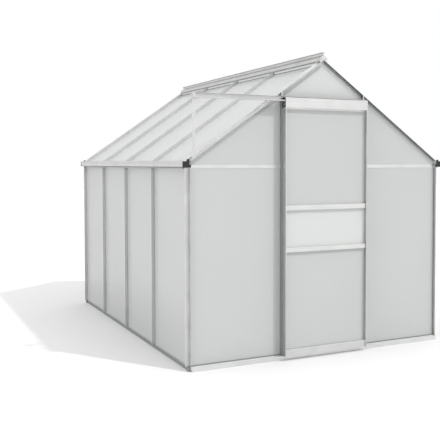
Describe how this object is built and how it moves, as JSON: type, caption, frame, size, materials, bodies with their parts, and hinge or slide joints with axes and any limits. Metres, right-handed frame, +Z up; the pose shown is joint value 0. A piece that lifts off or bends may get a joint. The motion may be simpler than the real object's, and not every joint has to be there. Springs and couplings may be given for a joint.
{
  "type": "greenhouse",
  "caption": "Free-standing garden greenhouse: extruded aluminium frame glazed with twin-wall sheet, pitched roof, front door sliding on an overhead track, gutters and a hinged roof vent.",
  "frame": {"origin": "centre of the anchor holes' rectangle at ground level, which is the middle of the footprint", "axes": "+Z up, +X to the right of someone who faces the front gable, the front gable towards -Y"},
  "size_m": [1.928, 2.544, 1.944],
  "materials": {
    "aluminium": "bare, satin",
    "twin_wall_sheet": "milky, translucent",
    "black_plastic": "moulded",
    "rubber": "matt",
    "zinc_steel": "zinc plated"
  },
  "bodies": {
    "frame": {"front_sill": "aluminium", "rear_sill": "aluminium", "left_sill": "aluminium", "right_sill": "aluminium", "front_left_corner_post": "aluminium", "front_right_corner_post": "aluminium", "rear_left_corner_post": "aluminium", "rear_right_corner_post": "aluminium", "wall_bars": "aluminium", "left_gutter": "aluminium", "right_gutter": "aluminium", "ridge_bar": "aluminium", "left_roof_bars": "aluminium", "right_roof_bars": "aluminium", "front_left_rafter": "aluminium", "front_right_rafter": "aluminium", "rear_left_rafter": "aluminium", "rear_right_rafter": "aluminium", "left_door_post": "aluminium", "right_door_post": "aluminium", "rear_gable_bars": "aluminium", "gable_transoms": "aluminium", "door_header": "aluminium", "door_track": "aluminium", "track_strut": "aluminium", "track_brackets": "aluminium", "gable_braces": "aluminium", "gusset_plates": "aluminium", "vent_slam_bar": "aluminium", "vent_hinge_pins": "aluminium", "left_wall_panels": "twin_wall_sheet", "right_wall_panels": "twin_wall_sheet", "left_roof_panels": "twin_wall_sheet", "right_roof_panels": "twin_wall_sheet", "front_lower_panels": "twin_wall_sheet", "front_gable_panels": "twin_wall_sheet", "rear_lower_panels": "twin_wall_sheet", "rear_gable_panels": "twin_wall_sheet", "gutter_end_caps": "black_plastic", "frame_nuts": "zinc_steel"},
    "door": {"door_left_stile": "aluminium", "door_right_stile": "aluminium", "door_top_rail": "aluminium", "door_upper_mid_rail": "aluminium", "door_lower_mid_rail": "aluminium", "door_bottom_rail": "aluminium", "door_upper_panel": "twin_wall_sheet", "door_middle_panel": "twin_wall_sheet", "door_lower_panel": "twin_wall_sheet", "door_wheel_axles": "zinc_steel", "door_guides": "black_plastic", "door_seals": "rubber", "door_buffer": "rubber"},
    "left_wheel": {"door_left_wheel": "black_plastic"},
    "right_wheel": {"door_right_wheel": "black_plastic"},
    "vent": {"vent_top_rail": "aluminium", "vent_side_rails": "aluminium", "vent_bottom_rail": "aluminium", "vent_panel": "twin_wall_sheet"},
    "stay": {"vent_stay": "aluminium"}
  },
  "joints": [
    {"name": "door_slide", "type": "slide", "parent": "frame", "child": "door", "axis": [-1, 0, 0], "range_m": [0, 0.58]},
    {"name": "left_wheel_spin", "type": "hinge", "parent": "door", "child": "left_wheel", "pos_m": [-0.24, -1.278, 1.63303], "axis": [0, -1, 0], "continuous": true},
    {"name": "right_wheel_spin", "type": "hinge", "parent": "door", "child": "right_wheel", "pos_m": [0.24, -1.278, 1.63303], "axis": [0, -1, 0], "continuous": true},
    {"name": "vent_hinge", "type": "hinge", "parent": "frame", "child": "vent", "pos_m": [0.036, 0.305, 1.89173], "axis": [0, -1, 0], "range_deg": [0, 45]},
    {"name": "stay_pivot", "type": "hinge", "parent": "vent", "child": "stay", "pos_m": [0.44058, 0.305, 1.60478], "axis": [0, -1, 0], "range_deg": [0, 80]}
  ],
  "couplings": [
    {"joint": "left_wheel_spin", "follows": "door_slide", "rad_per_m": 85.47},
    {"joint": "right_wheel_spin", "follows": "door_slide", "rad_per_m": 85.47}
  ]
}
